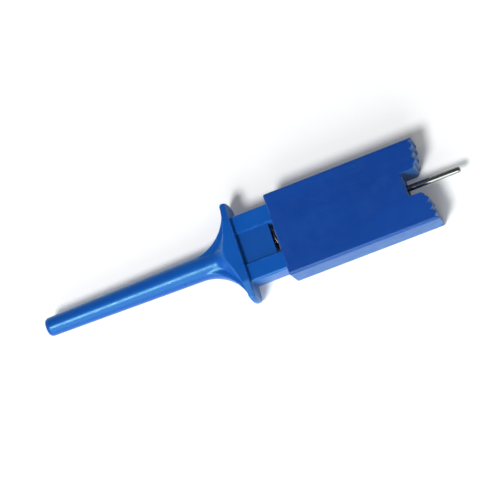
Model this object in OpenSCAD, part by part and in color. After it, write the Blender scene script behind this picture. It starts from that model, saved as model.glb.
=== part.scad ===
// Spring-loaded test hook clip. A slim hollow nose with two finger wings guides a pair of
// hooked wires. Pressing the thumb cap towards the wings pushes the hooks out of the nose, and
// the return spring draws them back onto the lead. A round pin at the rear takes a plug-on lead.

/* [Nose] */
// Length of the tapered nose from its tip to the start of the finger flare
nose_l = 17; // [14:0.1:20]
// Diameter of the nose behind its chamfered tip
nose_tip_d = 2; // [1.95:0.05:2.2]
// Diameter of the nose at the start of the finger flare
nose_root_d = 2.6; // [2.4:0.05:2.9]
// Diameter of the wire bore through the nose
nose_bore_d = 1.2; // [1.2:0.02:1.3]
// Length of the chamfer around the nose tip
tip_chamfer_l = 0.5; // [0.3:0.05:0.8]
// Width of the flat rim around the mouth of the bore
tip_rim = 0.08; // [0.05:0.01:0.12]
// How much the bore widens at its mouth, on the radius
mouth_flare = 0.06; // [0.02:0.01:0.1]

/* [Finger wings] */
// Span across both wing tips
wing_span = 10.8; // [10:0.1:11]
// Radius of the concave sweep from the nose to the wing tips
flare_r = 4.4; // [4.4:0.1:6]
// Height of the web that fills the concave sweep
web_h = 1.9; // [1.4:0.1:2.4]
// Length of the steeper collar in front of the wings
collar_l = 2.4; // [1.2:0.1:3]
// Thickness of a wing tip along the clip
wing_tip_l = 0.65; // [0.6:0.05:1.2]
// Height of a wing tip
wing_tip_h = 3; // [2.4:0.1:3.6]
// Width of the flat top between the sloping wing tips
wing_flat = 6.4; // [5:0.1:7]
// Edge radius of the wing tips
wing_round = 0.25; // [0.1:0.05:0.25]

/* [Thumb cap] */
// Width of the cap
cap_w = 8.8; // [8.4:0.1:9.6]
// Height of the cap, and of the wings
cap_h = 4; // [3.8:0.1:4.6]
// Thickness of the cap's side walls
cap_side_wall = 0.75; // [0.6:0.05:0.85]
// Thickness of the cap's top and bottom walls
cap_top_wall = 0.45; // [0.4:0.01:0.5]
// Edge radius along the cap
cap_round = 0.3; // [0.15:0.05:0.4]
// Chamfer of the cap's front and rear top edges
cap_chamfer = 0.16; // [0.08:0.02:0.24]
// Thickness of the wall between the cap's cavity and the notch
cap_end_wall = 1.4; // [1:0.1:2]
// Width of the notch in the rear end
notch_w = 2.6; // [2.2:0.1:3]
// Depth of the notch, from the rear corners
notch_l = 2.2; // [1.8:0.1:2.8]
// Chamfer of the notch's mouth corners
notch_lead = 0.3; // [0.1:0.05:0.4]
// Depth of the hollow sweep across the rear end
end_hollow = 0.45; // [0.2:0.05:0.7]
// Ridge pitches on each side of the notch
ridge_n = 4; // [3:1:5]
// Depth of the valleys between the ridges
ridge_depth = 0.35; // [0.15:0.05:0.4]

/* [Travel and latch] */
// Travel of the cap
stroke = 3.6; // [3:0.1:4]
// Gap left between the cap and the wings at full press
stop_gap = 0.4; // [0.2:0.05:0.6]
// Clearance on each side between the cap and the guide sleeve
slide_gap = 0.08; // [0.05:0.01:0.1]
// Width of the latch slot in the guide sleeve
slot_w = 3.1; // [3:0.1:3.4]
// Length of the latch slot seen in front of the cap
slit_l = 0.55; // [0.4:0.05:0.8]
// Length of a latch lug
lug_l = 1; // [0.8:0.1:1.4]
// How far a latch lug reaches into the slot
lug_bite = 0.3; // [0.2:0.02:0.34]
// Clearance between a lug and the ends and sides of its slot
lug_gap = 0.06; // [0.04:0.01:0.1]
// Length of the sleeve behind the latch slot
sleeve_tail_l = 4.2; // [3.4:0.1:5.4]
// Extra width of the shallow groove that leads to the slot
groove_extra = 0.2; // [0.1:0.05:0.4]
// Depth of the shallow groove
groove_depth = 0.2; // [0.1:0.05:0.3]

/* [Return spring] */
// Wall between the spring bore and the top of the guide sleeve
bore_wall = 0.42; // [0.36:0.02:0.46]
// Diameter of the spring wire
spring_wire_d = 0.24; // [0.2:0.01:0.26]
// Number of turns, with the two closed end turns
spring_turns = 12; // [9:1:14]
// Clearance between the spring and its bore, on the radius
spring_gap = 0.07; // [0.05:0.01:0.09]

/* [Lead pin and crimp] */
// Diameter of the free pin
pin_d = 0.64; // [0.5:0.02:0.66]
// Free length of the pin from the bottom of the notch
pin_l = 5.6; // [4.6:0.1:7]
// Length of the crimp sleeve
crimp_l = 4; // [3.6:0.1:4.6]

/* [Hook wires] */
// Diameter of a hook wire
hook_wire_d = 0.32; // [0.28:0.01:0.32]
// Radius of the hook's bend, along the middle of the wire
hook_bend_r = 0.3; // [0.24:0.02:0.36]
// Straight length of the hook's claw
hook_claw_l = 0.16; // [0.08:0.02:0.2]
// How far the hooks sit inside the mouth at rest
hook_inset = 0.12; // [0.06:0.02:0.3]

/* [Hidden] */
$fn = 48;
over = 1;
axis_z = cap_h / 2;
nose_tip_r = nose_tip_d / 2;
nose_root_r = nose_root_d / 2;
bore_r = nose_bore_d / 2;
mouth_r = bore_r + mouth_flare;
wing_r = wing_span / 2;
flare_top_r = wing_r - wing_round;
flare_turn = acos(1 - (flare_top_r - nose_root_r) / flare_r);
wing_front = nose_l + flare_r * sin(flare_turn);
wing_rear = wing_front + wing_tip_l;
cavity_w = cap_w - 2 * cap_side_wall;
cavity_h = cap_h - 2 * cap_top_wall;
sleeve_w = cavity_w - 2 * slide_gap;
sleeve_h = cavity_h - 2 * slide_gap;
sleeve_round = 0.25;
cavity_round = sleeve_round - 0.05;
cap_front = wing_rear + stroke + stop_gap;
slot_front = cap_front - slit_l;
lug_front = slot_front + lug_gap + stroke;
lug_rear = lug_front + lug_l;
slot_rear = lug_rear + lug_gap;
sleeve_rear = slot_rear + sleeve_tail_l;
cavity_rear = sleeve_rear + stroke + stop_gap;
notch_front = cavity_rear + cap_end_wall;
cap_rear = notch_front + notch_l;
pin_tip = notch_front + pin_l;
spring_bore_r = sleeve_h / 2 - bore_wall;
spring_seat = slot_front - 0.5;
wire_r = spring_wire_d / 2;
coil_r = spring_bore_r - spring_gap - wire_r;
spring_end_gap = 0.02;
boss_r = coil_r - wire_r - 0.05;
boss_l = 1.2;
core_inner = slot_w / 2 + 0.5;
core_outer = sleeve_w / 2 - 0.6;
core_h = sleeve_h - 1.2;
seat_gap = 0.01;
pin_r = pin_d / 2;
pin_shank_w = pin_d + 0.02;
pin_point_l = 0.3;
pin_hole_w = pin_shank_w + 2 * seat_gap;
pin_sink_r = pin_hole_w * 0.75 + 0.2;
pin_sink_l = 0.3;
crimp_rear = cavity_rear - boss_l - seat_gap;
crimp_front = crimp_rear - crimp_l;
crimp_r = boss_r - 0.07;
crimp_edge = 0.08;
crimp_dent = 0.1;
wire_bite = crimp_l * 0.4;
pin_bite = crimp_l * 0.5;
hook_r = hook_wire_d / 2;
layer_gap = 0.02;
hook_y = 0.2;
hook_z = hook_r + layer_gap;
hinge_x = stroke + 0.05;
hinge_gap = 0.02;
knuckle_r = 0.9 * hook_r;
bend_x = hook_inset + hook_r + hook_bend_r;
overall_l = pin_tip;
housing_colour = "royalblue";
cap_colour = "mediumblue";
metal_colour = "silver";
wire_colour = "goldenrod";

// Points along an arc.
function arc(cx, cy, r, from, to, steps) =
    [for (i = [0 : steps]) let (a = from + (to - from) * i / steps) [cx + r * cos(a), cy + r * sin(a)]];

// Rectangle with rounded corners, centred on the origin.
function round_box(w, h, r) = concat(
    arc(w / 2 - r, h / 2 - r, r, 0, 90, 5),
    arc(r - w / 2, h / 2 - r, r, 90, 180, 5),
    arc(r - w / 2, r - h / 2, r, 180, 270, 5),
    arc(w / 2 - r, r - h / 2, r, 270, 360, 5)
);

// Radius and distance along the clip for the tapered nose, up to the back of the wings.
nose_outline = [
    [0, 0],
    [mouth_r + tip_rim, 0],
    [nose_tip_r, tip_chamfer_l],
    [nose_root_r, nose_l],
    [nose_root_r, wing_rear],
    [0, wing_rear]
];

// Rounded edge of the wing tips, shared by the web and the collar.
tip_outline = concat(
    arc(flare_top_r, wing_front + wing_round, wing_round, -90, 0, 4),
    arc(flare_top_r, wing_rear - wing_round, wing_round, 0, 90, 4),
    [[0, wing_rear]]
);

// Concave sweep of the thin web, from the nose to the wing tips.
web_outline = concat(
    [[0, nose_l]],
    arc(nose_root_r + flare_r, nose_l, flare_r, 180, 180 - flare_turn, 18),
    tip_outline
);

// Steeper sweep of the full height collar, a quarter of an ellipse.
collar_rise = flare_top_r - nose_root_r;
collar_sweep = [for (i = [0 : 11]) let (a = i * 7.5)
    [nose_root_r + collar_rise * (1 - cos(a)), wing_front - collar_l * (1 - sin(a))]];
collar_outline = concat([[0, wing_front - collar_l]], collar_sweep, tip_outline);

// End view of the wings: a flat middle that slopes towards both tips.
wing_slope = (cap_h - wing_tip_h) / (wing_span - wing_flat);
wing_edge = wing_r + over;
wing_edge_h = cap_h / 2 - (wing_edge - wing_flat / 2) * wing_slope;
wing_section = [
    [-wing_edge, -wing_edge_h],
    [-wing_flat / 2, -cap_h / 2],
    [wing_flat / 2, -cap_h / 2],
    [wing_edge, -wing_edge_h],
    [wing_edge, wing_edge_h],
    [wing_flat / 2, cap_h / 2],
    [-wing_flat / 2, cap_h / 2],
    [-wing_edge, wing_edge_h]
];

// Rear edge of the cap on one side of the notch: a hollow sweep with rounded ridges.
ridge_pitch = (cap_w - notch_w) / 2 / ridge_n;
function end_x(y) = cap_rear
    - end_hollow * (1 - pow(2 * y / cap_w, 2))
    - ridge_depth * (1 - abs(cos(180 * (cap_w / 2 - abs(y)) / ridge_pitch)));
end_steps = ridge_n * 10;
end_from = notch_w / 2 + notch_lead;
end_run = cap_w / 2 - end_from;
end_right = [for (i = [0 : end_steps]) let (y = end_from + end_run * i / end_steps) [end_x(y), y]];
end_left = [for (i = [end_steps : -1 : 0]) [end_right[i][0], -end_right[i][1]]];
cap_plan = concat(
    [[cap_front, -cap_w / 2]],
    end_left,
    [[end_right[0][0] - notch_lead, -notch_w / 2]],
    [[notch_front, -notch_w / 2]],
    [[notch_front, notch_w / 2]],
    [[end_right[0][0] - notch_lead, notch_w / 2]],
    end_right,
    [[cap_front, cap_w / 2]]
);

// Side view of the cap with its chamfered ends.
cap_side = [
    [cap_front, cap_chamfer - cap_h / 2],
    [cap_front + cap_chamfer, -cap_h / 2],
    [cap_rear - cap_chamfer, -cap_h / 2],
    [cap_rear, cap_chamfer - cap_h / 2],
    [cap_rear, cap_h / 2 - cap_chamfer],
    [cap_rear - cap_chamfer, cap_h / 2],
    [cap_front + cap_chamfer, cap_h / 2],
    [cap_front, cap_h / 2 - cap_chamfer]
];

// Side view of a latch lug: a ramp in front and a square stop behind.
lug_foot = sleeve_h / 2 - lug_bite;
lug_side = [
    [lug_front, cavity_h / 2 + cap_top_wall / 2],
    [lug_front, cavity_h / 2 - slide_gap],
    [lug_front + lug_l / 2, lug_foot],
    [lug_rear, lug_foot],
    [lug_rear, cavity_h / 2 + cap_top_wall / 2]
];

// Spring turn count to distance along the clip, with one closed turn at each end.
coil_from = spring_seat + wire_r + spring_end_gap;
coil_run = cavity_rear - wire_r - spring_end_gap - coil_from;
end_pitch = 1.12 * spring_wire_d;
mid_pitch = (coil_run - 2 * end_pitch) / (spring_turns - 2);
function coil_x(t) = t < 1 ? coil_from + t * end_pitch
    : t < spring_turns - 1 ? coil_from + end_pitch + (t - 1) * mid_pitch
    : coil_from + coil_run - (spring_turns - t) * end_pitch;
coil_steps = 20;
coil_sides = 8;
coil_rings = spring_turns * coil_steps;

// A point on the spring wire's skin, around the wire's own middle line.
function coil_skin(ring, side) =
    let (t = ring / coil_steps)
    let (turn = 360 * t)
    let (out = [0, cos(turn), sin(turn)])
    let (slope = (coil_x(t + 0.01) - coil_x(t - 0.01)) / 0.02)
    let (along = [slope, -2 * PI * coil_r * sin(turn), 2 * PI * coil_r * cos(turn)])
    let (across = cross(along, out) / norm(along))
    let (a = 360 * side / coil_sides)
    [coil_x(t), 0, axis_z] + out * (coil_r + wire_r * cos(a)) + across * wire_r * sin(a);

// Stands the object with its middle over the origin.
module placed() {
    translate([-overall_l / 2, 0, 0]) children();
}

// A round bar along the clip.
module rod(from, to, r) {
    translate([from, 0, axis_z]) rotate([0, 90, 0]) cylinder(h = to - from, r = r);
}

// A solid turned about the clip's axis, from radius and distance points.
module turned(outline) {
    translate([0, 0, axis_z]) rotate([0, 90, 0]) rotate_extrude() polygon(outline);
}

// A bar along the clip, from its end view.
module bar(from, to, outline) {
    translate([from, 0, axis_z]) rotate([90, 0, 90]) linear_extrude(to - from) polygon(outline);
}

// A bar across the clip, from its side view.
module cross_bar(w, outline) {
    translate([0, w / 2, axis_z]) rotate([90, 0, 0]) linear_extrude(w) polygon(outline);
}

// A block along the clip, centred on its axis.
module block(from, to, w, h) {
    translate([from, -w / 2, axis_z - h / 2]) cube([to - from, w, h]);
}

// Tapered nose that sweeps out into the two finger wings.
module nose_and_wings() {
    turned(nose_outline);
    intersection() {
        turned(web_outline);
        block(nose_l - over, wing_rear + over, wing_span + over, web_h);
    }
    intersection() {
        turned(collar_outline);
        bar(nose_l, wing_rear + over, wing_section);
    }
}

// Stepped hollow for the hook wires and the spring.
module housing_hollow() {
    rod(-over, spring_seat + over, bore_r);
    turned([[0, -over], [mouth_r, -over], [mouth_r, 0], [bore_r, 3 * mouth_flare], [0, 3 * mouth_flare]]);
    rod(spring_seat, sleeve_rear + over, spring_bore_r);
    for (side = [-1, 1]) {
        translate([slot_front, side * (core_inner + core_outer) / 2 - (core_outer - core_inner) / 2, axis_z - core_h / 2])
            cube([sleeve_rear - slot_front + over, core_outer - core_inner, core_h]);
    }
}

// Latch slot through the sleeve, and the shallow grooves that lead to it.
module latch_slot() {
    block(slot_front, slot_rear, slot_w, sleeve_h + over);
    for (side = [-1, 1]) {
        translate([0, 0, side * (sleeve_h - groove_depth)])
            block(wing_rear, slot_front + slit_l, slot_w + groove_extra, sleeve_h);
    }
}

module nose_housing() {
    color(housing_colour) placed() {
        difference() {
            union() {
                nose_and_wings();
                difference() {
                    bar(wing_rear - wing_tip_l / 2, sleeve_rear, round_box(sleeve_w, sleeve_h, sleeve_round));
                    latch_slot();
                }
            }
            housing_hollow();
        }
    }
}

// Cap block with its ribbed, notched rear end and open front.
module cap_shell() {
    difference() {
        intersection() {
            bar(cap_front - over, cap_rear + over, round_box(cap_w, cap_h, cap_round));
            linear_extrude(cap_h + over) polygon(cap_plan);
            cross_bar(cap_w + over, cap_side);
        }
        bar(cap_front - over, cavity_rear, round_box(cavity_w, cavity_h, cavity_round));
    }
}

module thumb_cap() {
    color(cap_colour) placed() {
        difference() {
            union() {
                cap_shell();
                cross_bar(slot_w - 2 * lug_gap, lug_side);
                translate([0, 0, 2 * axis_z]) mirror([0, 0, 1]) cross_bar(slot_w - 2 * lug_gap, lug_side);
                rod(cavity_rear - boss_l, cavity_rear + cap_end_wall / 2, boss_r);
            }
            block(cavity_rear - boss_l - over, notch_front + over, pin_hole_w, pin_hole_w);
            rod(notch_front - pin_sink_l, notch_front + over, pin_sink_r);
        }
    }
}

module contact_pin() {
    color(metal_colour) placed() {
        block(crimp_rear - pin_bite + seat_gap, notch_front, pin_shank_w, pin_shank_w);
        turned([
            [0, notch_front - pin_sink_l],
            [pin_r, notch_front - pin_sink_l],
            [pin_r, pin_tip - pin_point_l],
            [0.8 * pin_r, pin_tip - 0.4 * pin_point_l],
            [0.4 * pin_r, pin_tip],
            [0, pin_tip]
        ]);
    }
}

module crimp_sleeve() {
    color(metal_colour) placed() {
        difference() {
            turned([
                [0, crimp_front],
                [crimp_r - crimp_edge, crimp_front],
                [crimp_r, crimp_front + crimp_edge],
                [crimp_r, crimp_rear - crimp_edge],
                [crimp_r - crimp_edge, crimp_rear],
                [0, crimp_rear]
            ]);
            block(crimp_rear - pin_bite, crimp_rear + over, pin_hole_w, pin_hole_w);
            for (side = [-1, 1]) {
                translate([0, side * hook_y, -side * hook_z])
                    rod(crimp_front - over, crimp_front + wire_bite, hook_r + seat_gap);
                translate([crimp_front + crimp_l / 4, side * (crimp_r + 3 * crimp_dent), 0])
                    cylinder(h = cap_h, r = 4 * crimp_dent);
            }
        }
    }
}

// Straight wire from the crimp to the place where the hook flexes.
module hook_shank(side) {
    translate([0, side * hook_y, -side * hook_z]) {
        difference() {
            rod(hinge_x, crimp_front + wire_bite - seat_gap, hook_r);
            translate([hinge_x, 0, 0]) cylinder(h = cap_h, r = hook_r + hinge_gap);
        }
    }
}

// Hooked end of the wire, with a round knuckle where it flexes.
module hook_jaw(side) {
    translate([0, side * hook_y, -side * hook_z]) {
        rod(bend_x, hinge_x, hook_r);
        intersection() {
            rod(hinge_x - hook_r, hinge_x + over, hook_r);
            translate([hinge_x, 0, 0]) cylinder(h = cap_h, r = knuckle_r);
        }
        translate([bend_x, -side * hook_bend_r, axis_z])
            rotate([0, 0, side > 0 ? 90 : 180]) rotate_extrude(angle = 90) translate([hook_bend_r, 0]) circle(r = hook_r);
        translate([bend_x - hook_bend_r, -side * hook_bend_r, axis_z])
            rotate([side * 90, 0, 0]) cylinder(h = hook_claw_l, r = hook_r);
    }
}

module hook_shank_left() {
    color(wire_colour) placed() hook_shank(-1);
}

module hook_shank_right() {
    color(wire_colour) placed() hook_shank(1);
}

module hook_jaw_left() {
    color(wire_colour) placed() hook_jaw(-1);
}

module hook_jaw_right() {
    color(wire_colour) placed() hook_jaw(1);
}

module return_spring() {
    skin = [for (ring = [0 : coil_rings]) for (side = [0 : coil_sides - 1]) coil_skin(ring, side)];
    walls = [for (ring = [0 : coil_rings - 1]) for (side = [0 : coil_sides - 1])
        let (next = (side + 1) % coil_sides)
        [
            ring * coil_sides + side,
            ring * coil_sides + next,
            (ring + 1) * coil_sides + next,
            (ring + 1) * coil_sides + side
        ]];
    first_end = [for (side = [coil_sides - 1 : -1 : 0]) side];
    last_end = [for (side = [0 : coil_sides - 1]) coil_rings * coil_sides + side];
    color(metal_colour) placed() polyhedron(skin, concat(walls, [first_end], [last_end]), convexity = 10);
}

nose_housing();
thumb_cap();
contact_pin();
crimp_sleeve();
hook_shank_left();
hook_shank_right();
hook_jaw_left();
hook_jaw_right();
return_spring();
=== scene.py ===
import math

import bmesh
import bpy
import numpy as np
from mathutils import Matrix, Vector


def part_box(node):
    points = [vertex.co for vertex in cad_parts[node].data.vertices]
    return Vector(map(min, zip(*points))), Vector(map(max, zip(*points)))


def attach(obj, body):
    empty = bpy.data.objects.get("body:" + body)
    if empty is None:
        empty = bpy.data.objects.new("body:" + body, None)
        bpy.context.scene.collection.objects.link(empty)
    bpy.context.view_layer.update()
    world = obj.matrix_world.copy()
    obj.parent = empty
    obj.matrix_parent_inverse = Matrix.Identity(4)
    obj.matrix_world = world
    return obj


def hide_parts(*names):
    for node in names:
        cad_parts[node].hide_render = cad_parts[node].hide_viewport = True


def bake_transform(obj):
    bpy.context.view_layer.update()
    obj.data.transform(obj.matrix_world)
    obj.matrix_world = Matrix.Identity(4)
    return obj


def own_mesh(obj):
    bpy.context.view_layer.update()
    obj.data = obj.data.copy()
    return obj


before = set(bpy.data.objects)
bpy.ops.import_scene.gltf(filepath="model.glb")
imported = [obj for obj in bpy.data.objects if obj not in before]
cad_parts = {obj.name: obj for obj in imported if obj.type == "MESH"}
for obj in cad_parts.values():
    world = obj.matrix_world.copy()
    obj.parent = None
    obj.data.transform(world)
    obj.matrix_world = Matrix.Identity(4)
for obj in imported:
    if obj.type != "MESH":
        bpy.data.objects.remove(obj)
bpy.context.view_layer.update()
mm = 0.001

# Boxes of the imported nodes, in millimetres. Distances along the clip are counted from the nose tip.
nodeBox = {name: [np.array(corner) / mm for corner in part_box(name)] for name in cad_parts}
tipX = nodeBox["nose_housing"][0][0]
axisZ = nodeBox["nose_housing"][1][2] / 2

mergeGap = 0.0005  # points closer than this become one
hardEdge = 38  # degrees between two faces from which their edge is shaded sharp
touch = 0.02  # how far past a face a point still counts as on it
tiny = 1e-9  # keeps a division away from zero


# how far behind the nose tip a node starts or ends
def nodeStart(name):
    return nodeBox[name][0][0] - tipX


def nodeEnd(name):
    return nodeBox[name][1][0] - tipX


capFront, capRear = nodeStart("thumb_cap"), nodeEnd("thumb_cap")
capHalf = nodeBox["thumb_cap"][1][1]
capTop = nodeBox["thumb_cap"][1][2] - axisZ
print("frame loaded, clip length", round(nodeEnd("contact_pin"), 2), "mm")


# smaller of two values, with the corner where they cross rounded over the width k
def smoothMin(a, b, k):
    h = np.maximum(k - np.abs(a - b), 0) / np.maximum(k, tiny)
    return np.minimum(a, b) - h * h * k / 4


def smoothMax(a, b, k):
    return -smoothMin(-a, -b, k)


# 0 below low, 1 above high, an S curve between them
def smoothStep(low, high, v):
    t = np.clip((v - low) / (high - low), 0, 1)
    return t * t * (3 - 2 * t)


# sine and cosine over a quarter turn, in n steps
def quarter(n):
    t = np.linspace(0, math.pi / 2, n + 1)
    return np.sin(t), np.cos(t)


# quads between the neighbours of a grid of points, whose columns wrap round, and its rows where asked
def gridFaces(rows, cols, wrapRows, first):
    a, b = np.meshgrid(np.arange(rows if wrapRows else rows - 1), np.arange(cols), indexing="ij")
    c, d = (a + 1) % rows, (b + 1) % cols
    corners = [a * cols + b, a * cols + d, c * cols + d, c * cols + b]
    return first + np.stack(corners, -1).reshape(-1, 4)


# How sharply the surface turns outwards at each point, per millimetre: along every edge, the change of
# the normal in the edge's direction over the edge's length, and of these the greatest at the point.
def outwardBend(mesh):
    points, normals = np.empty(3 * len(mesh.vertices)), np.empty(3 * len(mesh.vertices))
    ends = np.empty(2 * len(mesh.edges), dtype=np.int32)
    mesh.vertices.foreach_get("co", points)
    mesh.vertices.foreach_get("normal", normals)
    mesh.edges.foreach_get("vertices", ends)
    points, normals, ends = points.reshape(-1, 3), normals.reshape(-1, 3), ends.reshape(-1, 2)
    step = points[ends[:, 1]] - points[ends[:, 0]]
    turn = normals[ends[:, 1]] - normals[ends[:, 0]]
    bend = mm * (step * turn).sum(1) / np.maximum((step * step).sum(1), tiny * tiny)
    most = np.zeros(len(points))
    np.maximum.at(most, ends[:, 0], bend)
    np.maximum.at(most, ends[:, 1], bend)
    return most


# One piece from grids of points: x from the nose tip, y across and z from the clip's axis, in
# millimetres. With each grid comes whether its last row joins its first and, where some faces are left
# out, which are kept.
def makePiece(name, shells, material):
    points, faces, first = [], [], 0
    for grid, wrapRows, *kept in shells:
        rows, cols = grid.shape[:2]
        points.append(grid.reshape(-1, 3))
        quads = gridFaces(rows, cols, wrapRows, first)
        faces.append(quads[kept[0].ravel()] if kept else quads)
        first += rows * cols
    used, faces = np.unique(np.concatenate(faces), return_inverse=True)
    points = (np.concatenate(points)[used] + [tipX, 0, axisZ]) * mm
    mesh = bpy.data.meshes.new(name)
    mesh.from_pydata(points, [], faces.reshape(-1, 4))
    work = bmesh.new()
    work.from_mesh(mesh)
    bmesh.ops.remove_doubles(work, verts=work.verts, dist=mergeGap * mm)
    bmesh.ops.dissolve_degenerate(work, edges=work.edges, dist=mergeGap * mm)
    bmesh.ops.recalc_face_normals(work, faces=work.faces)
    work.to_mesh(mesh)
    work.free()
    mesh.shade_smooth()
    mesh.set_sharp_from_angle(angle=math.radians(hardEdge))
    mesh.attributes.new("outwardBend", "FLOAT", "POINT").data.foreach_set("value", outwardBend(mesh))
    mesh.materials.append(material)
    piece = bpy.data.objects.new(name, mesh)
    bpy.context.scene.collection.objects.link(piece)
    print("made", name, "with", len(mesh.polygons), "faces")
    return piece


# Marks the points of a recess floor that is left matt and darkened with painted shade. The test is given x,
# the distance from the nose tip, and the distances from the clip's two middle planes.
def markMattShade(piece, test):
    points = np.empty(3 * len(piece.data.vertices))
    piece.data.vertices.foreach_get("co", points)
    x, y, z = points.reshape(-1, 3).T / mm
    inside = test(x - tipX, np.abs(y), np.abs(z - axisZ)).astype(float)
    piece.data.attributes.new("mattShadedFloor", "FLOAT", "POINT").data.foreach_set("value", inside)


# Outline round the axis as (y, z): the radius, one for all directions or one for each, times the direction.
def polar(radius, phi):
    return np.column_stack([radius * np.cos(phi), radius * np.sin(phi)])


# Rings along the clip: ring i is outline i, an array of (y, z), set at distance i.
def ringGrid(stations):
    return np.stack([np.column_stack([np.full(len(outline), x), outline]) for x, outline in stations])


# Rounded rectangle seen from its middle: the distance at which a ray in each direction leaves it.
def boxRadius(halfW, halfH, corner, phi):
    c, s = np.abs(np.cos(phi)), np.abs(np.sin(phi))
    flat = np.minimum(halfW / np.maximum(c, tiny), halfH / np.maximum(s, tiny))
    cy, cz = halfW - corner, halfH - corner
    reach = c * cy + s * cz
    root = np.sqrt(np.maximum(reach * reach - cy * cy - cz * cz + corner * corner, 0))
    return np.where((flat * c > cy) & (flat * s > cz), reach + root, flat)


# Directions round the axis, closer together near the listed corner angles of one quarter, with exact ones
# added. Those that come nearer than apart to an exact one are left out.
def directions(perQuarter, corners, exact=(), width=2.5, gain=7, apart=0.12):
    fine = np.linspace(0, 90, 3601)
    weight = np.ones_like(fine)
    for corner in corners:
        weight += gain * np.exp(-((fine - corner) / width) ** 2)
    total = np.concatenate([[0], np.cumsum((weight[1:] + weight[:-1]) / 2)])
    first = np.interp(np.linspace(0, total[-1], perQuarter + 1), total, fine)
    exact = np.array(exact)
    if len(exact):
        clear = np.abs(first[:, None] - exact[None]).min(1) > apart
        clear[[0, -1]] = True
        first = np.sort(np.concatenate([first[clear], exact]))
    half = np.concatenate([first, 180 - first[-2::-1]])
    return np.radians(np.concatenate([half, 360 - half[-2:0:-1]]))


# shader nodes: plain values go on the socket, sockets are linked
def addNode(tree, kind, inputs, **settings):
    made = tree.nodes.new("ShaderNode" + kind)
    for key, value in settings.items():
        setattr(made, key, value)
    for key, value in inputs.items():
        if isinstance(value, bpy.types.NodeSocket):
            tree.links.new(value, made.inputs[key])
        else:
            made.inputs[key].default_value = value
    return made


def newGroup(name, inputs, outputs):
    group = bpy.data.node_groups.new(name, "ShaderNodeTree")
    for label, value in inputs.items():
        socket = group.interface.new_socket(label, in_out="INPUT", socket_type="NodeSocketFloat")
        socket.default_value = value
    for label in outputs:
        group.interface.new_socket(label, in_out="OUTPUT", socket_type="NodeSocketFloat")
    return group, group.nodes.new("NodeGroupInput").outputs, group.nodes.new("NodeGroupOutput").inputs


def placeGroup(tree, group, inputs):
    made = tree.nodes.new("ShaderNodeGroup")
    made.node_tree = group
    for key, value in inputs.items():
        made.inputs[key].default_value = value
    return made.outputs


# value stretched from one range to another, clamped
def remap(tree, value, fromLow, fromHigh, toLow, toHigh):
    inputs = {"Value": value, "From Min": fromLow, "From Max": fromHigh, "To Min": toLow, "To Max": toHigh}
    return addNode(tree, "MapRange", inputs).outputs["Result"]


def times(tree, a, b):
    return addNode(tree, "Math", {0: a, 1: b}, operation="MULTIPLY").outputs[0]


def plus(tree, a, b):
    return addNode(tree, "Math", {0: a, 1: b}, operation="ADD").outputs[0]


def greater(tree, a, b):
    return addNode(tree, "Math", {0: a, 1: b}, operation="MAXIMUM").outputs[0]


def objectPlace(tree):
    return addNode(tree, "TexCoord", {}).outputs["Object"]


# object coordinates moved, turned and stretched: a small first scale makes the pattern long along X
def mapped(tree, scale, shift=(0, 0, 0), turn=0.0):
    inputs = {"Vector": objectPlace(tree), "Location": shift, "Rotation": (0, 0, turn), "Scale": scale}
    return addNode(tree, "Mapping", inputs).outputs["Vector"]


def noise(tree, place, scale, detail=3.0, rough=0.5):
    inputs = {"Vector": place, "Scale": scale, "Detail": detail, "Roughness": rough}
    return addNode(tree, "TexNoise", inputs).outputs["Fac"]


# Moulded skin: fine eroded grain, slow flow of the colour along the clip, and patches of lower gloss.
def buildMouldSkin():
    group, given, out = newGroup("mouldSkin", {"Grain": 5200.0, "Flow": 150.0}, ["Height", "Tint", "Dull"])
    place = objectPlace(group)
    fine = noise(group, place, given["Grain"], detail=4.0, rough=0.6)
    coarse = noise(group, place, 900.0, detail=2.0)
    flow = noise(group, mapped(group, (0.35, 1.0, 1.0)), given["Flow"], rough=0.55)
    height = plus(group, times(group, fine, 0.6), times(group, coarse, 0.8))
    dull = plus(group, coarse, times(group, fine, 0.5))
    group.links.new(height, out["Height"])
    group.links.new(remap(group, flow, 0.3, 0.7, 0.0, 1.0), out["Tint"])
    group.links.new(remap(group, dull, 0.5, 1.0, 0.0, 1.0), out["Dull"])
    return group


# Rubbed edges: where the surface turns sharply outwards, broken up by noise.
def buildEdgeRub():
    group, given, out = newGroup("edgeRub", {"Start": 1.8, "End": 6.0, "Patch": 1400.0}, ["Mask"])
    bend = addNode(group, "Attribute", {}, attribute_name="outwardBend").outputs["Fac"]
    edge = remap(group, bend, given["Start"], given["End"], 0.0, 1.0)
    patch = noise(group, objectPlace(group), given["Patch"], detail=4.0, rough=0.65)
    patch = remap(group, patch, 0.38, 0.68, 0.0, 1.0)
    group.links.new(times(group, edge, patch), out["Mask"])
    return group


# Handling scuffs: hairlines where a long stretched noise crosses its middle value, in three slanted
# directions, kept to worn patches.
def buildScuffs():
    group, given, out = newGroup("scuffs", {"Scale": 420.0, "Width": 0.012, "Patch": 260.0}, ["Mask"])
    lines = []
    for slant, shift in ((0.32, 0.0), (-0.7, 0.013), (1.25, 0.029)):
        place = mapped(group, (0.22, 1.0, 1.0), (shift, shift, 0), slant)
        wave = noise(group, place, given["Scale"], detail=1.0)
        off = addNode(group, "Math", {0: plus(group, wave, -0.5)}, operation="ABSOLUTE").outputs[0]
        lines.append(remap(group, off, 0.0, given["Width"], 1.0, 0.0))
    anyLine = greater(group, greater(group, lines[0], lines[1]), lines[2])
    worn = noise(group, objectPlace(group), given["Patch"], rough=0.6)
    worn = remap(group, worn, 0.5, 0.64, 0.0, 1.0)
    group.links.new(times(group, anyLine, worn), out["Mask"])
    return group


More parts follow.
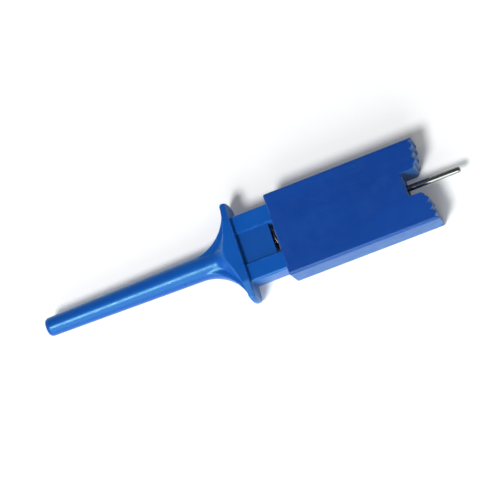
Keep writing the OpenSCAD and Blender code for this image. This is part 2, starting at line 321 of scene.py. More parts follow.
# Drawn metal: lines along the wire and cloudy tarnish.
def buildDrawnMetal():
    group, given, out = newGroup("drawnMetal", {"Lines": 9000.0, "Cloud": 700.0}, ["Height", "Tarnish"])
    lines = noise(group, mapped(group, (0.04, 1.0, 1.0)), given["Lines"], detail=2.0)
    cloud = noise(group, objectPlace(group), given["Cloud"], detail=5.0, rough=0.6)
    group.links.new(lines, out["Height"])
    group.links.new(remap(group, cloud, 0.42, 0.72, 0.0, 1.0), out["Tarnish"])
    return group


mouldSkin, edgeRub, scuffs, drawnMetal = buildMouldSkin(), buildEdgeRub(), buildScuffs(), buildDrawnMetal()


def newMaterial(name):
    made = bpy.data.materials.new(name)
    made.use_nodes = True
    made.node_tree.nodes.clear()
    shader = made.node_tree.nodes.new("ShaderNodeBsdfPrincipled")
    target = made.node_tree.nodes.new("ShaderNodeOutputMaterial")
    made.node_tree.links.new(shader.outputs[0], target.inputs["Surface"])
    return made, made.node_tree, shader


def mixColour(tree, share, a, b):
    made = addNode(tree, "Mix", {"Factor": share}, data_type="RGBA")
    for socket, value in ((made.inputs[6], a), (made.inputs[7], b)):
        if isinstance(value, bpy.types.NodeSocket):
            tree.links.new(value, socket)
        else:
            socket.default_value = (*value, 1)
    return made.outputs[2]


# Semi-gloss moulded plastic: the colour drifts between two shades and pales where edges are rubbed; marked
# recess floors are rougher and darkened with painted shade.
def mouldedPlastic(name, look):
    made, tree, shader = newMaterial(name)
    skin = placeGroup(tree, mouldSkin, {"Grain": look["grain"]})
    rub = placeGroup(tree, edgeRub, {})["Mask"]
    streak = placeGroup(tree, scuffs, {"Width": look["scuffWidth"]})["Mask"]
    # mask of the marked recess floors: real extra roughness there, and painted shade in the colour
    mattShade = addNode(tree, "Attribute", {}, attribute_name="mattShadedFloor").outputs["Fac"]
    colour = mixColour(tree, skin["Tint"], look["deep"], look["light"])
    colour = mixColour(tree, times(tree, rub, look["rubShare"]), colour, look["rubbed"])
    # painted shade: the marked recess floors are mixed towards a darker colour
    colour = mixColour(tree, times(tree, mattShade, look["mattShadeShare"]), colour, look["mattShade"])
    rough = remap(tree, skin["Dull"], 0.0, 1.0, look["gloss"], look["gloss"] + look["glossDrift"])
    rough = plus(tree, rough, times(tree, mattShade, look["mattRough"]))
    rough = plus(tree, rough, times(tree, streak, look["scuffRough"]))
    height = plus(tree, skin["Height"], times(tree, streak, -look["scuffDepth"]))
    relief = {"Height": height, "Strength": look["grainDepth"], "Distance": look["grainHeight"] * mm}
    tree.links.new(colour, shader.inputs["Base Color"])
    tree.links.new(rough, shader.inputs["Roughness"])
    tree.links.new(addNode(tree, "Bump", relief).outputs[0], shader.inputs["Normal"])
    shader.inputs["IOR"].default_value = look["ior"]
    shader.inputs["Specular Tint"].default_value = (*look["shine"], 1)
    shader.inputs["Sheen Weight"].default_value = look["sheen"]
    shader.inputs["Sheen Roughness"].default_value = look["sheenRough"]
    shader.inputs["Sheen Tint"].default_value = (*look["sheenTint"], 1)
    return made


# Drawn wire: clean metal that clouds over, bright where edges are rubbed.
def drawnWire(name, look):
    made, tree, shader = newMaterial(name)
    drawn = placeGroup(tree, drawnMetal, {"Lines": look["lines"]})
    rub = placeGroup(tree, edgeRub, {"Start": look["rubStart"], "End": 3 * look["rubStart"]})["Mask"]
    clouded = times(tree, drawn["Tarnish"], look["tarnishShare"])
    colour = mixColour(tree, clouded, look["clean"], look["tarnished"])
    colour = mixColour(tree, times(tree, rub, look["rubShare"]), colour, look["bright"])
    rough = remap(tree, drawn["Tarnish"], 0.0, 1.0, look["gloss"], look["gloss"] + look["glossDrift"])
    relief = {"Height": drawn["Height"], "Strength": look["lineDepth"], "Distance": look["lineHeight"] * mm}
    tree.links.new(colour, shader.inputs["Base Color"])
    tree.links.new(rough, shader.inputs["Roughness"])
    tree.links.new(addNode(tree, "Bump", relief).outputs[0], shader.inputs["Normal"])
    shader.inputs["Metallic"].default_value = 1.0
    return made


# the recess-floor colour share below mixes in painted shade; the recess roughness is real
plasticFinish = {
    "rubShare": 0.3, "mattShadeShare": 0.7, "mattRough": 0.15, "grainHeight": 0.01, "ior": 1.46,
    "sheen": 0.32, "sheenRough": 0.4, "sheenTint": (0.06, 0.58, 1.0),
}
housingLook = {
    **plasticFinish,
    "deep": (0.003, 0.067, 0.34), "light": (0.004, 0.083, 0.4), "rubbed": (0.06, 0.19, 0.58),
    # the floor colour on the next line is painted shade in the groove, not a colour of the plastic
    "mattShade": (0.001, 0.045, 0.27), "shine": (0.42, 1.0, 1.0), "gloss": 0.27, "glossDrift": 0.1,
    "grain": 5200.0, "grainDepth": 0.34, "scuffWidth": 0.011, "scuffRough": 0.1, "scuffDepth": 0.5,
}
capLook = {
    **plasticFinish,
    "deep": (0.0015, 0.035, 0.232), "light": (0.003, 0.049, 0.295), "rubbed": (0.05, 0.17, 0.55),
    # the floor colour on the next line is painted shade in the hollow round the pin, not a colour of the
    # plastic
    "mattShade": (0.001, 0.03, 0.2), "shine": (0.62, 0.96, 1.0), "gloss": 0.32, "glossDrift": 0.12,
    "grain": 4600.0, "grainDepth": 0.42, "scuffWidth": 0.013, "scuffRough": 0.12, "scuffDepth": 0.6,
}
metalFinish = {"rubShare": 0.5, "glossDrift": 0.14, "lineDepth": 0.35, "lineHeight": 0.004}
pinLook = {
    **metalFinish,
    "clean": (0.36, 0.355, 0.34), "tarnished": (0.14, 0.135, 0.13), "bright": (0.6, 0.59, 0.57),
    "tarnishShare": 0.5, "lines": 9000.0, "gloss": 0.12, "rubStart": 6.0,
}
crimpLook = {
    **metalFinish,
    "clean": (0.72, 0.52, 0.22), "tarnished": (0.34, 0.2, 0.08), "bright": (0.86, 0.7, 0.4),
    "tarnishShare": 0.6, "lines": 7000.0, "gloss": 0.3, "rubStart": 4.0,
}
hookLook = {
    **metalFinish,
    "clean": (0.86, 0.62, 0.22), "tarnished": (0.5, 0.3, 0.1), "bright": (0.95, 0.78, 0.42),
    "tarnishShare": 0.4, "lines": 12000.0, "gloss": 0.2, "rubStart": 12.0,
}
springLook = {
    **metalFinish,
    "clean": (0.22, 0.22, 0.23), "tarnished": (0.1, 0.097, 0.094), "bright": (0.4, 0.4, 0.41),
    "tarnishShare": 0.6, "lines": 12000.0, "gloss": 0.4, "rubStart": 14.0,
}
housingPlastic = mouldedPlastic("housingPlastic", housingLook)
capPlastic = mouldedPlastic("capPlastic", capLook)
pinTin = drawnWire("pinTin", pinLook)
crimpBrass = drawnWire("crimpBrass", crimpLook)
hookGold = drawnWire("hookGold", hookLook)
springSteel = drawnWire("springSteel", springLook)
print("materials ready")

# Nose, finger wings and the neck, which runs on into the cap as two rails and a tail.
nose = {
    "length": 17.0, "tipRadius": 1.0, "rootRadius": 1.3, "tipRound": 0.5, "rim": 0.74,
    "mouth": 0.66, "mouthDepth": 0.18, "mouthRound": 0.03, "bore": 0.6,
    "tipSteps": 8, "rows": 22, "perQuarter": 84,
}
wing = {
    "sweep": 4.4, "webHalf": 0.95, "webRound": 0.25, "collar": 2.4, "flatHalf": 3.2, "slopeRound": 0.1,
    "tipThickness": 0.65, "tipRound": 0.25, "tipHalfHeight": 1.5, "edgeRound": 0.09, "topRound": 0.16,
    "webBlend": 0.35, "collarBlend": 0.3, "blendRise": 0.5,
    "sweepRows": 44, "collarRows": 30, "tipRows": 14, "edgeSteps": 5,
}
neck = {
    "halfW": 3.57, "halfH": 1.47, "corner": 0.25, "fillet": 0.1, "cornerTurns": (10, 16, 32),
    "grooveHalf": 1.65, "grooveDepth": 0.2, "grooveWall": 0.07, "mattShadeMargin": 0.03,
    "slitLength": 0.55, "slotHalf": 1.55, "latchLength": 4.72, "springBore": 1.05, "seatDepth": 0.5,
    "rows": 7, "wallSteps": 7, "cornerSteps": 9,
}
wingHalf = nodeBox["nose_housing"][1][1]
wingCrest = wingHalf - wing["tipRound"]
sweepTurn = math.acos(1 - (wingCrest - nose["rootRadius"]) / wing["sweep"])
wingFront = nose["length"] + wing["sweep"] * math.sin(sweepTurn)
wingRear = wingFront + wing["tipThickness"]
slotFront = capFront - neck["slitLength"]
slotRear = slotFront + neck["latchLength"]
sleeveRear = nodeEnd("nose_housing")
slotTurn = math.atan2(neck["halfH"], neck["slotHalf"])
grooveFloor = neck["halfH"] - neck["grooveDepth"]


# Rounded ends of the wing tips: the radius gains or loses a quarter circle over the tip's thickness.
def tipRadius(x):
    r = wing["tipRound"]
    inset = np.maximum(wingFront + r - x, x - wingRear + r)
    return wingCrest + np.sqrt(np.maximum(r * r - np.clip(inset, 0, r) ** 2, 0))


# Concave sweep: the nose radius plus what a circle of the sweep's radius has fallen away at x.
def webRadius(x):
    run = np.clip(x - nose["length"], 0, wingFront - nose["length"])
    swept = nose["rootRadius"] + wing["sweep"] - np.sqrt(wing["sweep"] ** 2 - run ** 2)
    return np.where(x > wingFront, tipRadius(x), swept)


# Steeper collar: a quarter ellipse from the nose to the wing tips.
def collarRadius(x):
    share = np.clip((x - wingFront + wing["collar"]) / wing["collar"], 0, 1)
    swept = nose["rootRadius"] + (wingCrest - nose["rootRadius"]) * (1 - np.sqrt(1 - share ** 2))
    return np.where(x > wingFront, tipRadius(x), swept)


# Distance at which a ray leaves the wings' end view: flat in the middle, sloping to the tips.
def wingSlab(phi):
    c, s = np.abs(np.cos(phi)), np.maximum(np.abs(np.sin(phi)), tiny)
    slope = (capTop - wing["tipHalfHeight"]) / (wingHalf - wing["flatHalf"])
    sloping = (capTop + wing["flatHalf"] * slope) / (s + slope * c)
    return smoothMin(capTop / s, sloping, wing["slopeRound"])


# Outer radius of nose, web and collar together, each joined to the next by a rounded inner corner, which
# grows as the form rises from the nose.
def wingOutline(x, phi):
    taper = np.clip((x - nose["tipRound"]) / (nose["length"] - nose["tipRound"]), 0, 1)
    core = nose["tipRadius"] + (nose["rootRadius"] - nose["tipRadius"]) * taper
    if x <= nose["length"]:
        return np.full_like(phi, core)
    webFlat = wing["webHalf"] / np.maximum(np.abs(np.sin(phi)), tiny)
    web = smoothMin(webRadius(x), webFlat, wing["webRound"])
    webLift = np.clip((webRadius(x) - core) / wing["blendRise"], 0, 1)
    body = smoothMax(np.full_like(phi, core), web, wing["webBlend"] * webLift)
    collar = smoothMin(collarRadius(x), wingSlab(phi), wing["topRound"])
    collarLift = np.clip((collarRadius(x) - core) / wing["blendRise"], 0, 1)
    joined = smoothMax(body, collar, wing["collarBlend"] * collarLift)
    return np.minimum(joined, np.maximum(webRadius(x), core))


# Neck section: a rounded rectangle, its top and bottom sunk over the width of the groove.
def neckOutline(phi, grow=0.0, groove=True):
    section = boxRadius(neck["halfW"] + grow, neck["halfH"] + grow, neck["corner"] + grow, phi)
    outline = polar(section, phi)
    wall = neck["grooveWall"] / 2
    sunk = 1 - smoothStep(neck["grooveHalf"] - wall, neck["grooveHalf"] + wall, np.abs(outline[:, 0]))
    onFlat = np.abs(outline[:, 1]) > neck["halfH"] - neck["corner"]
    outline[:, 1] -= np.sign(outline[:, 1]) * neck["grooveDepth"] * sunk * onFlat * groove
    return outline


# Directions in which the neck's section turns: the walls of the groove and the rounded corners.
def neckTurns():
    wall = neck["grooveHalf"] + neck["grooveWall"] * np.linspace(-0.5, 0.5, neck["wallSteps"])
    turn = np.linspace(0, math.pi / 2, neck["cornerSteps"])
    cornerY = neck["halfW"] - neck["corner"] * (1 - np.cos(turn))
    cornerZ = neck["halfH"] - neck["corner"] * (1 - np.sin(turn))
    z = np.concatenate([np.full_like(wall, neck["halfH"]), cornerZ])
    return np.degrees(np.arctan2(z, np.concatenate([wall, cornerY])))


def overSlot(phi):
    return np.abs(np.cos(phi)) < math.cos(slotTurn) - 1e-6


# Inside of the two rails beside the latch slot: upright planes up to the groove's floor, and on to the
# given height in the slot's own directions. In the directions over the slot the ring stays on the outline.
def railInside(phi, outline, top):
    side = np.sign(np.cos(phi)) * neck["slotHalf"]
    atSlot = np.isclose(np.abs(np.cos(phi)), math.cos(slotTurn), atol=1e-6)
    inner = np.clip(side * np.tan(phi), -grooveFloor, grooveFloor)
    z = np.where(atSlot, np.sign(np.sin(phi)) * top, inner)
    return np.where(overSlot(phi)[:, None], outline, np.column_stack([side, z]))


# Housing surface: rings from the mouth over the nose, the wings and the neck, along the rails and the
# sleeve's tail, then back inside through the tail, between the rails, to the spring seat and the bore.
# Faces over the slot are left out.
def housingShell():
    phi = directions(nose["perQuarter"], neck["cornerTurns"], [*neckTurns(), math.degrees(slotTurn)])
    lip = nose["tipRadius"] - nose["rim"]
    rings = [(nose["tipRound"] * (1 - c), polar(nose["rim"] + lip * s, phi))
             for s, c in zip(*quarter(nose["tipSteps"]))]
    plainRun = np.linspace(nose["tipRound"], nose["length"], nose["rows"])[1:-1]
    sweepRun = nose["length"] + wing["sweep"] * np.sin(np.linspace(0, sweepTurn, wing["sweepRows"]))
    collarTurn = np.linspace(0, math.pi / 2, wing["collarRows"])
    collarRun = wingFront - wing["collar"] * (1 - np.sin(collarTurn))
    e, f = wing["edgeRound"], neck["fillet"]
    tipRun = np.linspace(wingFront, wingRear - e, wing["tipRows"])
    for x in np.unique(np.round(np.concatenate([plainRun, sweepRun, collarRun, tipRun]), 4)):
        rings.append((x, polar(wingOutline(x, phi), phi)))
    sine, cosine = quarter(wing["edgeSteps"])
    for s, c in zip(sine[1:], cosine[1:]):
        x = wingRear - e * (1 - s)
        rings.append((x, polar(wingOutline(x, phi) - e * (1 - c), phi)))
    for s, c in zip(sine, cosine):
        rings.append((wingRear + f * (1 - c), neckOutline(phi, f * (1 - s))))
    for x in np.linspace(wingRear + f, slotFront, neck["rows"])[1:]:
        rings.append((x, neckOutline(phi)))
    slotRows = len(rings) - 1 + np.array([0, 1, 2, 7, 8, 9])  # rows of faces over the slot, outer and inner
    plain, grooved = neckOutline(phi, groove=False), neckOutline(phi)
    highRail, lowRail = railInside(phi, plain, neck["halfH"]), railInside(phi, grooved, grooveFloor)
    rings += [(capFront, grooved), (capFront, plain), (slotRear, plain), (sleeveRear, plain)]
    rings += [(x, polar(neck["springBore"], phi)) for x in (sleeveRear, slotRear)]
    rings += [(slotRear, highRail), (capFront, highRail), (capFront, lowRail), (slotFront, lowRail)]
    seat = slotFront - neck["seatDepth"]
    bores = [(slotFront, neck["springBore"]), (seat, neck["springBore"]), (seat, nose["bore"]),
             (seat / 2, nose["bore"]), (nose["mouthDepth"], nose["bore"]),
             (nose["mouthRound"], nose["mouth"]), (0, nose["mouth"] + nose["mouthRound"])]
    rings += [(x, polar(radius, phi)) for x, radius in bores]
    kept = np.ones((len(rings), len(phi)), dtype=bool)
    middle = phi + (np.roll(phi, -1) - phi) % (2 * math.pi) / 2
    kept[np.ix_(slotRows, np.where(overSlot(middle))[0])] = False
    return ringGrid(rings), True, kept


# Groove floor behind the wings, which the housing's material darkens with painted shade.
def onGrooveFloor(x, y, z):
    exposed = (x > wingRear + touch) & (x < capFront)
    across = y < neck["grooveHalf"] - neck["mattShadeMargin"]
    return exposed & across & (np.abs(z - grooveFloor) < neck["mattShadeMargin"])


noseHousing = makePiece("noseHousing", [housingShell()], housingPlastic)
markMattShade(noseHousing, onGrooveFloor)
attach(noseHousing, "housing")
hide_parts("nose_housing")

# Thumb cap: a thin walled box, open in front, with a ridged and notched rear end.
cap = {
    "longRound": 0.3, "frontRound": 0.14, "rearRound": 0.16, "cornerRound": 0.16,
    "cavityHalf": 3.65, "cavityTop": 1.55, "cavityRound": 0.2, "endWall": 1.4, "wallEdge": 0.002,
    "notchHalf": 1.3, "notchLength": 2.2, "notchCorner": 0.14,
    "notchLead": 0.3, "leadStart": 0.01, "leadAcross": (0.3, 0.65), "leadAlong": (0.62, 0.28),
    "hollow": 0.45, "ridges": 4, "ridgeDepth": 0.35,
    "sinkRadius": 0.71, "sinkEdge": 0.07, "sinkDepth": 0.3, "mattShadeDepth": 0.05,
    "bossRadius": 0.69, "bossLength": 1.2, "bossHole": 0.34, "bossHoleRound": 0.02, "bossQuarter": 12,
    "lugLength": 1.0, "lugHalf": 1.49, "lugBite": 0.3, "lugLead": 0.08, "lugRamp": 0.5, "lugGap": 0.06,
    "stroke": 3.6, "root": 0.2,
    "flatColumns": 30, "cornerSteps": 5, "ridgeSteps": 14, "longSteps": 10, "sideShut": (0.6, 0.0),
    "rimRows": 4, "edgeSteps": 6, "edgeRows": (0.02, 0.06, 0.14, 0.3), "topRows": 8,
    "faceRows": 75, "cavityRows": 8,
}
notchFront = capRear - cap["notchLength"]
cavityRear = notchFront - cap["endWall"]
ridgePitch = (capHalf - cap["notchHalf"]) / cap["ridges"]


# Rear edge: a parabola hollow towards the middle, less the valleys between cosine crests.
def ridgedEnd(y):
    crest = np.abs(np.cos(math.pi * (capHalf - y) / ridgePitch))
    return capRear - cap["hollow"] * (1 - (y / capHalf) ** 2) - cap["ridgeDepth"] * (1 - crest)


# Columns from the middle to one side: place across, rear end, front end and half height of each. They
# cross the notch's floor, its rounded corner and flared lead, then the ridges and the rounded long edge.
# Three more stand at the cavity's side wall.
def capColumns():
    sine, cosine = quarter(cap["cornerSteps"])
    half, lead, r = cap["notchHalf"], cap["notchLead"], cap["notchCorner"]
    mouth = ridgedEnd(half + lead)
    corner = capHalf - cap["longRound"]
    flat = np.linspace(0, half - r, cap["flatColumns"])
    steps = np.arange(cap["ridges"] * cap["ridgeSteps"] + 1)[::-1]
    ridged = capHalf - ridgePitch * steps / cap["ridgeSteps"]
    ridged = ridged[(ridged > half + lead) & (ridged < corner)]
    rounded = corner + cap["longRound"] * quarter(cap["longSteps"])[0]
    wall = cap["cavityHalf"] + np.array([-cap["cavityRound"] / 2, -cap["wallEdge"], cap["wallEdge"]])
    ends = np.concatenate([ridged, rounded[1:], wall])
    y = np.concatenate([flat, half - r + r * sine[1:], [half + cap["leadStart"]],
                        half + lead * np.array(cap["leadAcross"]), ends])
    rear = np.concatenate([np.full_like(flat, notchFront), notchFront + r * (1 - cosine[1:]), [mouth - lead],
                           mouth - lead * np.array(cap["leadAlong"]), ridgedEnd(ends)])
    past = np.clip((y - capHalf + cap["cornerRound"]) / cap["cornerRound"], 0, 1)
    turned = cap["cornerRound"] * (1 - np.sqrt(1 - past ** 2))
    over = np.clip((y - corner) / cap["longRound"], 0, 1)
    top = capTop - cap["longRound"] * (1 - np.sqrt(1 - over ** 2))
    order = np.argsort(y, kind="stable")
    return y[order], (rear - turned)[order], (capFront + turned)[order], top[order]


# One loop per column in the upright plane: front rim, top, rear end, bottom, rim, then the cavity and
# back. Past the cavity's side the cavity rows lie on the rim, so that they close the wall. The last
# columns draw in to the middle of the side and close it.
def capGrid():
    y, rear, front, top = (np.concatenate([v, v[-1:], v[-1:]])[:, None] for v in capColumns())
    shut = np.concatenate([np.ones(len(y) - 2), cap["sideShut"]])[:, None]
    inCorner = np.clip((y - cap["cavityHalf"] + cap["cavityRound"]) / cap["cavityRound"], 0, 1)
    ceiling = cap["cavityTop"] - cap["cavityRound"] * (1 - np.sqrt(1 - inCorner ** 2))
    deep = np.where(y < cap["cavityHalf"], cavityRear, front)
    sine, cosine = quarter(cap["edgeSteps"])
    f, b = cap["frontRound"], cap["rearRound"]
    rim = np.linspace(0, 1, cap["rimRows"])
    near, between = np.array(cap["edgeRows"]), np.linspace(0, 1, cap["topRows"] + 2)[1:-1]
    along = np.concatenate([near * 0, between, near * 0 + 1])
    nudge = np.concatenate([near, between * 0, -near[::-1]])
    upperX = np.concatenate([front + rim * 0, front + f * (1 - cosine),
                             front + f + (rear - b - front - f) * along + nudge, rear - b + b * sine], 1)
    upperZ = np.concatenate([ceiling + (top - f - ceiling) * rim, top - f + f * sine,
                             top + along * 0, top - b + b * cosine], 1)
    faceZ = (top - b) * np.linspace(1, -1, cap["faceRows"])
    fromPin = np.sqrt(y ** 2 + faceZ ** 2)
    sunk = 1 - smoothStep(cap["sinkRadius"] - cap["sinkEdge"], cap["sinkRadius"], fromPin)
    faceX = rear - cap["sinkDepth"] * sunk
    inward, rise = np.linspace(0, 1, cap["cavityRows"]), np.linspace(-1, 1, cap["cavityRows"] + 1)
    x = np.concatenate([upperX, faceX, upperX[:, ::-1], front + (deep - front) * inward,
                        deep + rise * 0, deep + (front - deep) * inward], 1)
    z = np.concatenate([upperZ, faceZ, -upperZ[:, ::-1], -ceiling + inward * 0,
                        ceiling * rise, ceiling + inward * 0], 1)
    middle = (front + rear) / 2
    right = np.stack([middle + (x - middle) * shut, y * np.ones_like(x), z * shut], -1)
    left = right[:0:-1] * [1, -1, 1]
    return np.concatenate([left, right])


# Latch lug under the roof or over the floor of the cap: a ramp in front and a square stop behind, its
# side outline carried across and closed to a point at each end.
def lugGrid(sign):
    front = slotFront + cap["lugGap"] + cap["stroke"]
    end, roof = front + cap["lugLength"], cap["cavityTop"]
    foot = neck["halfH"] - cap["lugBite"]
    side = np.array([[front, roof + cap["root"]], [front, roof - cap["lugLead"]],
                     [front + cap["lugRamp"], foot], [end, foot], [end, roof + cap["root"]]])
    ring = np.column_stack([side[:, 0], 0 * side[:, 0], sign * side[:, 1]])
    middle = np.broadcast_to(ring.mean(0), ring.shape)
    across = np.array([0, cap["lugHalf"], 0])
    return np.stack([middle - across, ring - across, ring + across, middle + across])


# Boss in front of the cavity's end wall, which holds the pin and centres the spring: a round outside and
# a square hole, joined at both ends.
def bossGrid():
    phi = directions(cap["bossQuarter"], [45])
    outer = polar(cap["bossRadius"], phi)
    inner = polar(boxRadius(cap["bossHole"], cap["bossHole"], cap["bossHoleRound"], phi), phi)
    start, end = cavityRear - cap["bossLength"], cavityRear + cap["root"]
    return ringGrid([(start, outer), (end, outer), (end, inner), (start, inner)])


# Hollow round the pin, which the cap's material darkens with painted shade.
def inPinHollow(x, y, z):
    sunk = (x > notchFront - cap["sinkDepth"] - touch) & (x < notchFront - cap["mattShadeDepth"])
    return sunk & (y < cap["notchHalf"])


capShells = [(capGrid(), False), (lugGrid(1), False), (lugGrid(-1), False), (bossGrid(), True)]
thumbCap = makePiece("thumbCap", capShells, capPlastic)
markMattShade(thumbCap, inPinHollow)
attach(thumbCap, "plunger")
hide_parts("thumb_cap")

# Contact pin: a square shank held by the cap, round where it stands free.
pin = {
    "squareHalf": 0.33, "squareRound": 0.04, "radius": 0.32, "turnLength": 0.15,
    "endShare": 0.85, "endLength": 0.05, "pointLength": 0.3, "pointRadius": 0.13,
    "perQuarter": 14, "turnRows": 5, "rows": 12, "pointSteps": 8,
}


# Rings whose outline goes from a square to a circle behind the cap's wall, then a domed point.
def pinGrid():
    phi = directions(pin["perQuarter"], [45])
    start, end = nodeStart("contact_pin"), nodeEnd("contact_pin")
    square = polar(boxRadius(pin["squareHalf"], pin["squareHalf"], pin["squareRound"], phi), phi)
    rounded = polar(pin["radius"], phi)
    turn = notchFront - cap["sinkDepth"]
    free, straight = turn + pin["turnLength"], end - pin["pointLength"]
    rings = [(start, square * 0), (start, square * pin["endShare"]), (start + pin["endLength"], square),
             (turn, square)]
    for t in np.linspace(0, 1, pin["turnRows"] + 1)[1:]:
        rings.append((turn + pin["turnLength"] * t, square + (rounded - square) * t))
    rings += [(x, rounded) for x in np.linspace(free, straight, pin["rows"])[1:]]
    for s, c in zip(*quarter(pin["pointSteps"])):
        radius = pin["pointRadius"] + (pin["radius"] - pin["pointRadius"]) * c
        rings.append((straight + pin["pointLength"] * s, polar(radius, phi)))
    rings.append((end, polar(0, phi)))
    return ringGrid(rings)


contactPin = makePiece("contactPin", [(pinGrid(), False)], pinTin)
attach(contactPin, "plunger")
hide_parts("contact_pin")

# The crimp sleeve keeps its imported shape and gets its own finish.
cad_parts["crimp_sleeve"].data.materials.clear()
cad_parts["crimp_sleeve"].data.materials.append(crimpBrass)

# Hook wires: one springy wire from the crimp to the claw, bent where it leaves the nose.
hook = {
    "bend": 0.3, "claw": 0.16, "round": 0.05, "flex": 0.7,
    "straightRows": 90, "bendRows": 14, "clawRows": 4, "domeSteps": 4, "sides": 16,
}


# Tube round a line in a level plane, which runs straight, turns a quarter circle inwards and ends in a
# short claw: each ring is the line's point plus a circle square to its direction, smaller over the dome.
def hookGrid(label):
    low, high = nodeBox["hook_shank_" + label]
    radius = (high[2] - low[2]) / 2
    y0, z0 = (low[1] + high[1]) / 2, (low[2] + high[2]) / 2 - axisZ
    side = math.copysign(1, y0)
    bendX = nodeStart("hook_jaw_" + label) + radius + hook["bend"]
    straight = np.linspace(nodeEnd("hook_shank_" + label), bendX, hook["straightRows"])
    t = np.linspace(0, math.pi / 2, hook["bendRows"] + 1)[1:]
    claw = np.linspace(0, hook["claw"], hook["clawRows"] + 1)[1:]
    x = np.concatenate([straight, bendX - hook["bend"] * np.sin(t), claw * 0 + bendX - hook["bend"]])
    y = np.concatenate([np.full_like(straight, y0), y0 - side * hook["bend"] * (1 - np.cos(t)),
                        y0 - side * (hook["bend"] + claw)])
    turn = np.concatenate([np.zeros_like(straight), t, np.full_like(claw, math.pi / 2)])
    path = np.column_stack([x, y])
    along = np.column_stack([-np.cos(turn), -side * np.sin(turn)])
    sine, cosine = quarter(hook["domeSteps"])
    tip, back = path[-1].copy(), along[-1] * hook["round"]
    path[-1] -= back
    path = np.concatenate([path[:1], path, tip - back * (1 - sine[1:, None]), [tip]])
    along = np.concatenate([along[:1], along, np.repeat(along[-1:], hook["domeSteps"] + 1, 0)])
    dome = radius - hook["round"] * (1 - cosine[1:])
    size = np.concatenate([[0], np.full(len(x), radius), dome, [0]])[:, None]
    a = np.linspace(0, 2 * math.pi, hook["sides"], endpoint=False)
    across = np.column_stack([-along[:, 1], along[:, 0]])
    out = size * np.cos(a)
    return np.stack([path[:, :1] + across[:, :1] * out, path[:, 1:] + across[:, 1:] * out,
                     z0 + size * np.sin(a)], -1)


for label in ("left", "right"):
    wire = makePiece("hookWire" + label.capitalize(), [(hookGrid(label), False)], hookGold)
    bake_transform(wire)
    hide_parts("hook_shank_" + label, "hook_jaw_" + label)

# Return spring between the seat in the neck and the end wall of the cap.
spring = {"wire": 0.12, "turns": 12, "endPitch": 1.12, "stepsPerTurn": 40, "sides": 10}
seatX = nodeStart("return_spring")


# Helix: the wire's middle turns round the axis, with one close turn at each end, and carries a circle
# square to it.
def springGrid():
    low, high = nodeBox["return_spring"]
    coil = (high[1] - low[1]) / 2 - spring["wire"]
    turn = np.linspace(0, spring["turns"], spring["turns"] * spring["stepsPerTurn"] + 1)
    first, last = seatX + spring["wire"], nodeEnd("return_spring") - spring["wire"]
    close = spring["endPitch"] * 2 * spring["wire"]
    knots = [0, 1, spring["turns"] - 1, spring["turns"]]
    x = np.interp(turn, knots, [first, first + close, last - close, last])
    angle = 2 * math.pi * turn
    outward = np.column_stack([np.zeros_like(angle), np.cos(angle), np.sin(angle)])
    along = np.column_stack([np.gradient(x, angle), -coil * np.sin(angle), coil * np.cos(angle)])
    along /= np.linalg.norm(along, axis=1)[:, None]
    across = np.cross(along, outward)
    middle = outward * coil + np.column_stack([x, x * 0, x * 0])
    a = np.linspace(0, 2 * math.pi, spring["sides"], endpoint=False)[None, :, None]
    skin = middle[:, None] + spring["wire"] * (np.cos(a) * outward[:, None] + np.sin(a) * across[:, None])
    firstEnd, lastEnd = (np.broadcast_to(point, skin[:1].shape) for point in (middle[0], middle[-1]))
    return np.concatenate([firstEnd, skin, lastEnd])


returnSpring = makePiece("returnSpring", [(springGrid(), False)], springSteel)
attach(returnSpring, "housing")
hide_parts("return_spring")
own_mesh(returnSpring)

# Stage: a white floor, a soft key light on the left, a wide low panel beside it and a sky that pales
# downwards.
stage = {
    "floorHalf": 1.2, "floorDrop": 0.01, "floorColour": (0.92, 0.92, 0.92), "floorRough": 0.9,
    "floorLift": 0.09, "speckle": 60.0, "speckleGain": 1.02,
    "horizon": 0.6, "zenith": 0.1, "skyTop": 0.8, "distance": 0.42,
    "keyTurn": -38, "keyHeight": 58, "keyPower": 1.5, "keySize": 0.12, "keyColour": (1, 1, 1),
    "panelTurn": -14, "panelHeight": 25, "panelPower": 1.1, "panelSize": 0.36,
    "panelColour": (0.88, 1.0, 1.0),
}


# direction from the clip towards a lamp or the camera: turn 0 is the near side, height is above the floor
def towards(turn, height):
    a, e = math.radians(turn), math.radians(height)
    return Vector((math.sin(a) * math.cos(e), -math.cos(a) * math.cos(e), math.sin(e)))


# round lamp of the stage, whose values start with its own word there
def areaLamp(name, word):
    lamp = bpy.data.lights.new(name, "AREA")
    lamp.shape, lamp.color = "DISK", stage[word + "Colour"]
    lamp.size, lamp.energy = stage[word + "Size"], stage[word + "Power"]
    lampObject = bpy.data.objects.new(name, lamp)
    back = towards(stage[word + "Turn"], stage[word + "Height"])
    lampObject.location = back * stage["distance"]
    lampObject.rotation_euler = back.to_track_quat("Z", "Y").to_euler()
    bpy.context.scene.collection.objects.link(lampObject)


# 1 where the floor is seen, by the camera or in a reflection, and 0 where it only lights the clip
def seenRay(tree):
    rays = addNode(tree, "LightPath", {}).outputs
    seen = greater(tree, rays["Is Camera Ray"], rays["Is Glossy Ray"])
    return greater(tree, seen, rays["Is Transmission Ray"])


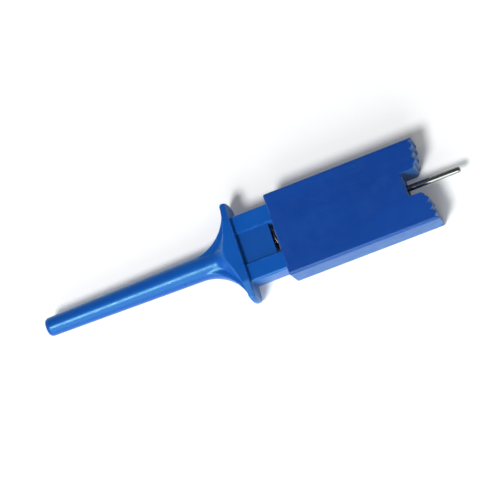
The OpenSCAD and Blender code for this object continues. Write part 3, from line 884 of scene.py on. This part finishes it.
floorWhite, tree, shader = newMaterial("floorWhite")
speckle = noise(tree, objectPlace(tree), stage["speckle"], detail=2.0)
paler = tuple(c * stage["speckleGain"] for c in stage["floorColour"])
tree.links.new(mixColour(tree, speckle, stage["floorColour"], paler), shader.inputs["Base Color"])
tree.links.new(times(tree, seenRay(tree), stage["floorLift"]), shader.inputs["Emission Strength"])
shader.inputs["Roughness"].default_value = stage["floorRough"]
shader.inputs["Emission Color"].default_value = (1, 1, 1, 1)
h = stage["floorHalf"]
floorMesh = bpy.data.meshes.new("floor")
floorMesh.from_pydata([(-h, -h, 0), (h, -h, 0), (h, h, 0), (-h, h, 0)], [], [(0, 1, 2, 3)])
floorMesh.transform(Matrix.Translation((0, 0, -stage["floorDrop"] * mm)))
floorMesh.materials.append(floorWhite)
floor = bpy.data.objects.new("floor", floorMesh)
bpy.context.scene.collection.objects.link(floor)

world = bpy.data.worlds.new("studio")
world.use_nodes = True
bpy.context.scene.world = world
tree = world.node_tree
background = tree.nodes["Background"]
sky = addNode(tree, "TexCoord", {}).outputs["Generated"]
height = addNode(tree, "SeparateXYZ", {"Vector": sky}).outputs["Z"]
glow = remap(tree, height, 0.0, stage["skyTop"], stage["horizon"], stage["zenith"])
tree.links.new(glow, background.inputs["Strength"])
background.inputs["Color"].default_value = (1, 1, 1, 1)
areaLamp("keyLamp", "key")
areaLamp("sidePanel", "panel")
print("stage lit")

# Camera: the photograph's direction and distance, rolled so that the clip points up to the right.
view = {
    "turn": 33.5, "height": 72, "distance": 0.18, "roll": 18.5, "lens": 128, "sensor": 36,
    "nearest": 0.001, "farthest": 10,
}
camera = bpy.data.cameras.new("camera")
camera.lens, camera.sensor_width = view["lens"], view["sensor"]
camera.clip_start, camera.clip_end = view["nearest"], view["farthest"]
cameraObject = bpy.data.objects.new("camera", camera)
back = towards(view["turn"], view["height"])
level = Vector((0, 1, 0)).cross(back).normalized()
rise = back.cross(level)
roll = math.radians(view["roll"])
right = level * math.cos(roll) - rise * math.sin(roll)
up = level * math.sin(roll) + rise * math.cos(roll)
stand = Matrix.Translation(Vector((0, 0, axisZ * mm)) + back * view["distance"])
cameraObject.matrix_world = stand @ Matrix((right, up, back)).transposed().to_4x4()
bpy.context.scene.collection.objects.link(cameraObject)
bpy.context.scene.camera = cameraObject
bpy.context.scene.view_settings.view_transform = "Standard"
